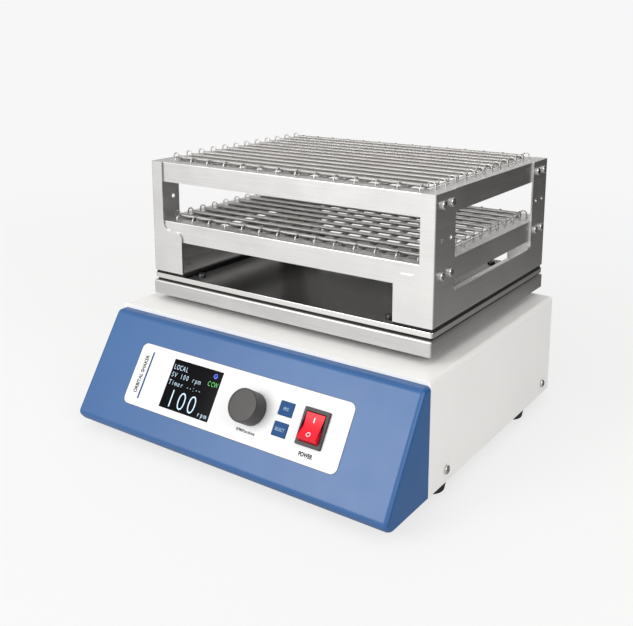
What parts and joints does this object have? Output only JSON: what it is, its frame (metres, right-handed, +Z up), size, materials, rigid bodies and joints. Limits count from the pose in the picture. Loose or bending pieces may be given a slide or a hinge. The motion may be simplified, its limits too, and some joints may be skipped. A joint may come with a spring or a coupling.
{
  "type": "orbital shaker",
  "caption": "Bench orbital shaker with a sloping control panel and an orbiting platform that carries a two-tier spring rack for flasks.",
  "frame": {"origin": "centre of the footprint's bounding box, on the surface that the feet stand on", "axes": "+Z up, the control panel faces -Y, +X to the right as seen by a person who faces the panel"},
  "size_m": [0.3552, 0.344, 0.2611],
  "materials": {
    "white_enamel": "satin powder coat",
    "blue_plastic": "satin moulded",
    "stainless": "brushed",
    "mirror_steel": "bright rolled",
    "spring_steel": "bright drawn wire",
    "fastener": "plated",
    "zinc_steel": "zinc plated",
    "aluminium": "machined",
    "bearing_steel": "ground",
    "black_rubber": "matte",
    "belt_rubber": "matte",
    "label_film": "printed film",
    "display_black": "gloss",
    "display_case": "matte",
    "board_green": "solder mask",
    "knob_grey": "matte",
    "key_blue": "satin",
    "switch_black": "gloss",
    "switch_red": "gloss",
    "inlet_black": "matte",
    "contact_metal": "plated",
    "motor_black": "enamel"
  },
  "bodies": {
    "base": {"base_plate": "zinc_steel", "housing_cover": "white_enamel", "front_bezel": "blue_plastic", "control_label": "label_film", "display_window": "display_black", "display_module": "display_case", "control_board": "board_green", "encoder_body": "zinc_steel", "encoder_nut": "fastener", "key_switches": "switch_black", "switch_housing": "switch_black", "inlet_housing": "inlet_black", "inlet_pins": "contact_metal", "power_supply": "aluminium", "rubber_feet": "black_rubber", "foot_screws": "fastener", "foot_nuts": "fastener", "cover_screws": "fastener", "bezel_screws": "fastener", "bearing_deck": "aluminium", "deck_posts": "zinc_steel", "deck_screws": "fastener", "bearing_housings": "aluminium", "deck_bearings": "bearing_steel", "motor_housing": "motor_black", "drive_belt": "belt_rubber"},
    "drive": {"drive_crank": "zinc_steel", "drive_crank_races": "bearing_steel", "drive_pulley": "aluminium", "counterweight": "zinc_steel"},
    "motor_rotor": {"motor_shaft": "bearing_steel", "motor_pulley": "aluminium"},
    "rear_support": {"rear_crank": "zinc_steel", "rear_crank_races": "bearing_steel"},
    "front_left_support": {"front_left_crank": "zinc_steel", "front_left_crank_races": "bearing_steel"},
    "front_right_support": {"front_right_crank": "zinc_steel", "front_right_crank_races": "bearing_steel"},
    "platform": {"platform_tray": "stainless", "carrier_plate": "aluminium", "carrier_bearings": "bearing_steel", "platform_screws": "fastener", "platform_nuts": "fastener", "rubber_mats": "black_rubber", "rack_base_plate": "mirror_steel", "left_side_panel": "stainless", "right_side_panel": "stainless", "upper_tier_frame": "stainless", "lower_tier_frame": "stainless", "upper_springs": "spring_steel", "lower_springs": "spring_steel", "rack_screws": "fastener"},
    "knob_push": {"encoder_plunger": "switch_black"},
    "knob_head": {"knob": "knob_grey", "encoder_shaft": "contact_metal"},
    "program_key": {"program_button": "key_blue"},
    "select_key": {"select_button": "key_blue"},
    "power_switch": {"power_rocker": "switch_red"},
    "fuse": {"fuse_drawer": "inlet_black"}
  },
  "joints": [
    {"name": "drive_spin", "type": "hinge", "parent": "base", "child": "drive", "pos_m": [0, 0.04201, 0.098], "axis": [0, 0, 1], "continuous": true},
    {"name": "platform_orbit", "type": "hinge", "parent": "drive", "child": "platform", "pos_m": [0, 0.04701, 0.1195], "axis": [0, 0, 1], "continuous": true},
    {"name": "rear_support_spin", "type": "hinge", "parent": "base", "child": "rear_support", "pos_m": [0, 0.12001, 0.098], "axis": [0, 0, 1], "continuous": true},
    {"name": "front_left_support_spin", "type": "hinge", "parent": "base", "child": "front_left_support", "pos_m": [-0.11, -0.03599, 0.098], "axis": [0, 0, 1], "continuous": true},
    {"name": "front_right_support_spin", "type": "hinge", "parent": "base", "child": "front_right_support", "pos_m": [0.11, -0.03599, 0.098], "axis": [0, 0, 1], "continuous": true},
    {"name": "motor_spin", "type": "hinge", "parent": "base", "child": "motor_rotor", "pos_m": [0, -0.04199, 0.086], "axis": [0, 0, 1], "continuous": true},
    {"name": "knob_press", "type": "slide", "parent": "base", "child": "knob_push", "axis": [0, 0.8418, -0.5397], "range_m": [0, 0.0005], "stiffness_N_per_m": 800, "springref_m": -0.001},
    {"name": "knob_turn", "type": "hinge", "parent": "knob_push", "child": "knob_head", "pos_m": [0.0239, -0.14405, 0.06113], "axis": [0, -0.8418, 0.5397], "continuous": true},
    {"name": "program_press", "type": "slide", "parent": "base", "child": "program_key", "axis": [0, 0.8418, -0.5397], "range_m": [0, 0.0006], "stiffness_N_per_m": 500, "springref_m": -0.001},
    {"name": "select_press", "type": "slide", "parent": "base", "child": "select_key", "axis": [0, 0.8418, -0.5397], "range_m": [0, 0.0006], "stiffness_N_per_m": 500, "springref_m": -0.001},
    {"name": "power_rock", "type": "hinge", "parent": "base", "child": "power_switch", "pos_m": [0.0884, -0.14405, 0.06113], "axis": [1, 0, 0], "range_deg": [0, 24]},
    {"name": "fuse_drawer_slide", "type": "slide", "parent": "base", "child": "fuse", "axis": [0, 1, 0], "range_m": [0, 0.014]}
  ],
  "couplings": [
    {"joint": "platform_orbit", "follows": "drive_spin", "ratio": -1},
    {"joint": "rear_support_spin", "follows": "drive_spin", "ratio": 1},
    {"joint": "front_left_support_spin", "follows": "drive_spin", "ratio": 1},
    {"joint": "front_right_support_spin", "follows": "drive_spin", "ratio": 1},
    {"joint": "motor_spin", "follows": "drive_spin", "ratio": 4}
  ]
}
